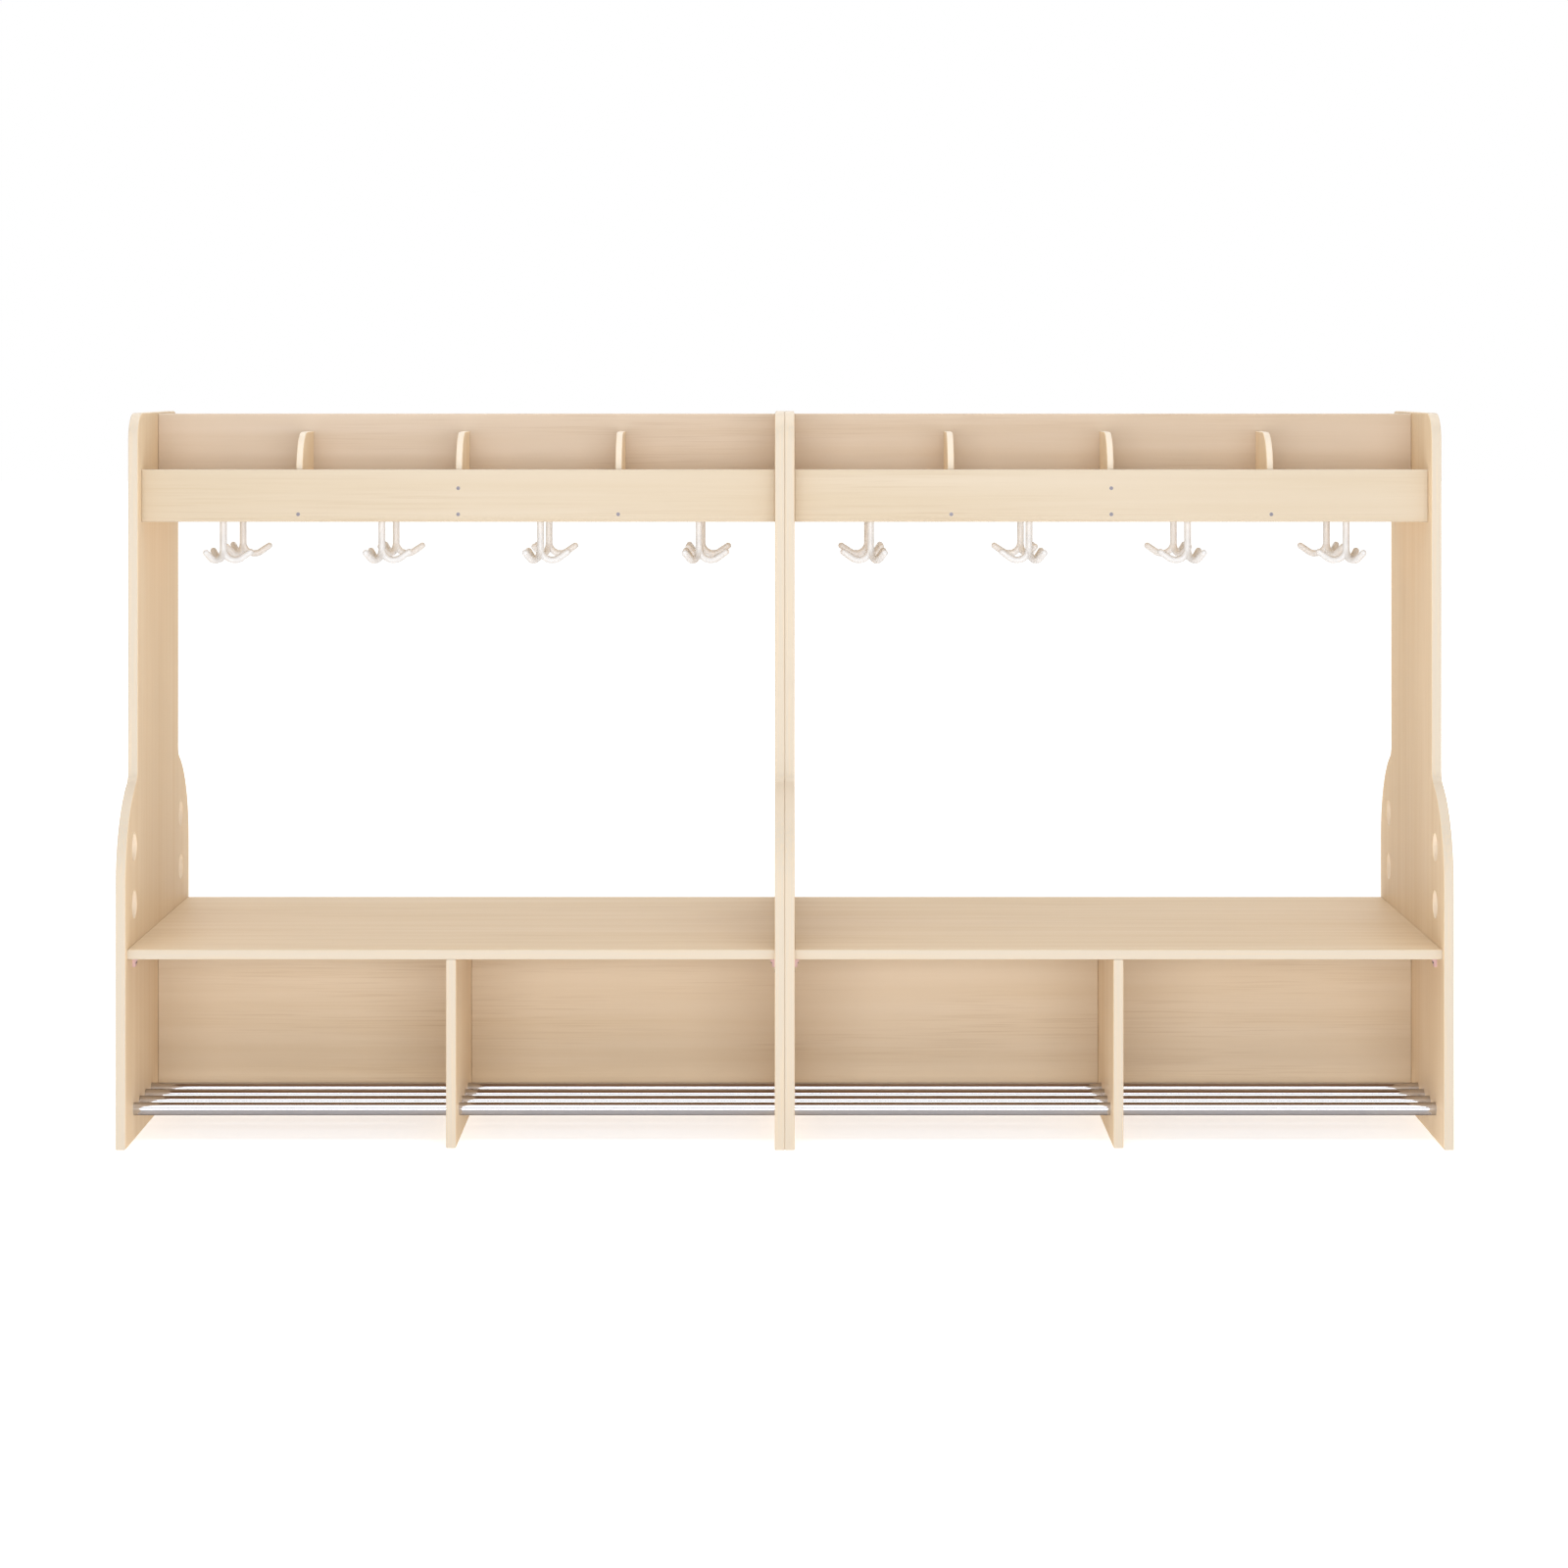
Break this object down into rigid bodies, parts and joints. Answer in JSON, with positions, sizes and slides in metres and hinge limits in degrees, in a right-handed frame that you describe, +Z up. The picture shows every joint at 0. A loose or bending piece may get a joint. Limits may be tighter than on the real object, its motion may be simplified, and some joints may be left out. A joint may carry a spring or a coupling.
{
  "type": "double cloakroom bench",
  "caption": "Long double-sided cloakroom bench with a maple-effect seat, chromed boot rack bars below, and a partitioned hat shelf above carrying white three-armed swivel coat hooks.",
  "frame": {"origin": "on the floor, in the middle of the bench's length and depth", "axes": "+X along the bench, -Y towards the side that faces the viewer in the picture, +Z up"},
  "size_m": [2.4, 0.7, 1.32],
  "materials": {
    "maple_board": "satin maple-effect board with matching edge band",
    "chrome_tube": "bright chromed steel tube",
    "white_plastic": "smooth white moulded plastic",
    "rose_plastic": "rose-brown moulded plastic",
    "zinc_steel": "zinc-plated steel",
    "nickel_steel": "nickel-plated steel",
    "beech_dowel": "plain fluted beech"
  },
  "bodies": {
    "carcass": {"side_panel_left_inner": "maple_board", "lower_panel_left_inner": "maple_board", "side_panel_left_outer": "maple_board", "lower_panel_left_outer": "maple_board", "seat_left": "maple_board", "lower_divider_left": "maple_board", "hat_shelf_left": "maple_board", "upper_panel_left": "maple_board", "fascia_left_front": "maple_board", "boot_bars_left_front": "chrome_tube", "tray_divider_left_front_1": "maple_board", "tray_divider_left_front_2": "maple_board", "tray_divider_left_front_3": "maple_board", "fascia_left_back": "maple_board", "boot_bars_left_back": "chrome_tube", "tray_divider_left_back_1": "maple_board", "tray_divider_left_back_2": "maple_board", "tray_divider_left_back_3": "maple_board", "side_panel_right_inner": "maple_board", "lower_panel_right_inner": "maple_board", "side_panel_right_outer": "maple_board", "lower_panel_right_outer": "maple_board", "seat_right": "maple_board", "lower_divider_right": "maple_board", "hat_shelf_right": "maple_board", "upper_panel_right": "maple_board", "fascia_right_front": "maple_board", "boot_bars_right_front": "chrome_tube", "tray_divider_right_front_1": "maple_board", "tray_divider_right_front_2": "maple_board", "tray_divider_right_front_3": "maple_board", "fascia_right_back": "maple_board", "boot_bars_right_back": "chrome_tube", "tray_divider_right_back_1": "maple_board", "tray_divider_right_back_2": "maple_board", "tray_divider_right_back_3": "maple_board", "hook_studs": "zinc_steel", "panel_screws": "zinc_steel", "wooden_dowels": "beech_dowel", "seat_brackets": "rose_plastic", "bracket_screws": "zinc_steel", "connector_bolts": "nickel_steel", "connector_sleeves": "nickel_steel"},
    "hook_left_front_1": {"hook_left_front_1": "white_plastic"},
    "hook_left_front_2": {"hook_left_front_2": "white_plastic"},
    "hook_left_front_3": {"hook_left_front_3": "white_plastic"},
    "hook_left_front_4": {"hook_left_front_4": "white_plastic"},
    "hook_left_back_1": {"hook_left_back_1": "white_plastic"},
    "hook_left_back_2": {"hook_left_back_2": "white_plastic"},
    "hook_left_back_3": {"hook_left_back_3": "white_plastic"},
    "hook_left_back_4": {"hook_left_back_4": "white_plastic"},
    "hook_right_front_1": {"hook_right_front_1": "white_plastic"},
    "hook_right_front_2": {"hook_right_front_2": "white_plastic"},
    "hook_right_front_3": {"hook_right_front_3": "white_plastic"},
    "hook_right_front_4": {"hook_right_front_4": "white_plastic"},
    "hook_right_back_1": {"hook_right_back_1": "white_plastic"},
    "hook_right_back_2": {"hook_right_back_2": "white_plastic"},
    "hook_right_back_3": {"hook_right_back_3": "white_plastic"},
    "hook_right_back_4": {"hook_right_back_4": "white_plastic"}
  },
  "joints": [
    {"name": "hook_left_front_1_swivel", "type": "hinge", "parent": "carcass", "child": "hook_left_front_1", "pos_m": [-0.159, -0.124, 1.125], "axis": [0, 0, 1], "continuous": true},
    {"name": "hook_left_front_2_swivel", "type": "hinge", "parent": "carcass", "child": "hook_left_front_2", "pos_m": [-0.453, -0.124, 1.125], "axis": [0, 0, 1], "continuous": true},
    {"name": "hook_left_front_3_swivel", "type": "hinge", "parent": "carcass", "child": "hook_left_front_3", "pos_m": [-0.747, -0.124, 1.125], "axis": [0, 0, 1], "continuous": true},
    {"name": "hook_left_front_4_swivel", "type": "hinge", "parent": "carcass", "child": "hook_left_front_4", "pos_m": [-1.041, -0.124, 1.125], "axis": [0, 0, 1], "continuous": true},
    {"name": "hook_left_back_1_swivel", "type": "hinge", "parent": "carcass", "child": "hook_left_back_1", "pos_m": [-0.159, 0.124, 1.125], "axis": [0, 0, 1], "continuous": true},
    {"name": "hook_left_back_2_swivel", "type": "hinge", "parent": "carcass", "child": "hook_left_back_2", "pos_m": [-0.453, 0.124, 1.125], "axis": [0, 0, 1], "continuous": true},
    {"name": "hook_left_back_3_swivel", "type": "hinge", "parent": "carcass", "child": "hook_left_back_3", "pos_m": [-0.747, 0.124, 1.125], "axis": [0, 0, 1], "continuous": true},
    {"name": "hook_left_back_4_swivel", "type": "hinge", "parent": "carcass", "child": "hook_left_back_4", "pos_m": [-1.041, 0.124, 1.125], "axis": [0, 0, 1], "continuous": true},
    {"name": "hook_right_front_1_swivel", "type": "hinge", "parent": "carcass", "child": "hook_right_front_1", "pos_m": [0.159, -0.124, 1.125], "axis": [0, 0, 1], "continuous": true},
    {"name": "hook_right_front_2_swivel", "type": "hinge", "parent": "carcass", "child": "hook_right_front_2", "pos_m": [0.453, -0.124, 1.125], "axis": [0, 0, 1], "continuous": true},
    {"name": "hook_right_front_3_swivel", "type": "hinge", "parent": "carcass", "child": "hook_right_front_3", "pos_m": [0.747, -0.124, 1.125], "axis": [0, 0, 1], "continuous": true},
    {"name": "hook_right_front_4_swivel", "type": "hinge", "parent": "carcass", "child": "hook_right_front_4", "pos_m": [1.041, -0.124, 1.125], "axis": [0, 0, 1], "continuous": true},
    {"name": "hook_right_back_1_swivel", "type": "hinge", "parent": "carcass", "child": "hook_right_back_1", "pos_m": [0.159, 0.124, 1.125], "axis": [0, 0, 1], "continuous": true},
    {"name": "hook_right_back_2_swivel", "type": "hinge", "parent": "carcass", "child": "hook_right_back_2", "pos_m": [0.453, 0.124, 1.125], "axis": [0, 0, 1], "continuous": true},
    {"name": "hook_right_back_3_swivel", "type": "hinge", "parent": "carcass", "child": "hook_right_back_3", "pos_m": [0.747, 0.124, 1.125], "axis": [0, 0, 1], "continuous": true},
    {"name": "hook_right_back_4_swivel", "type": "hinge", "parent": "carcass", "child": "hook_right_back_4", "pos_m": [1.041, 0.124, 1.125], "axis": [0, 0, 1], "continuous": true}
  ]
}
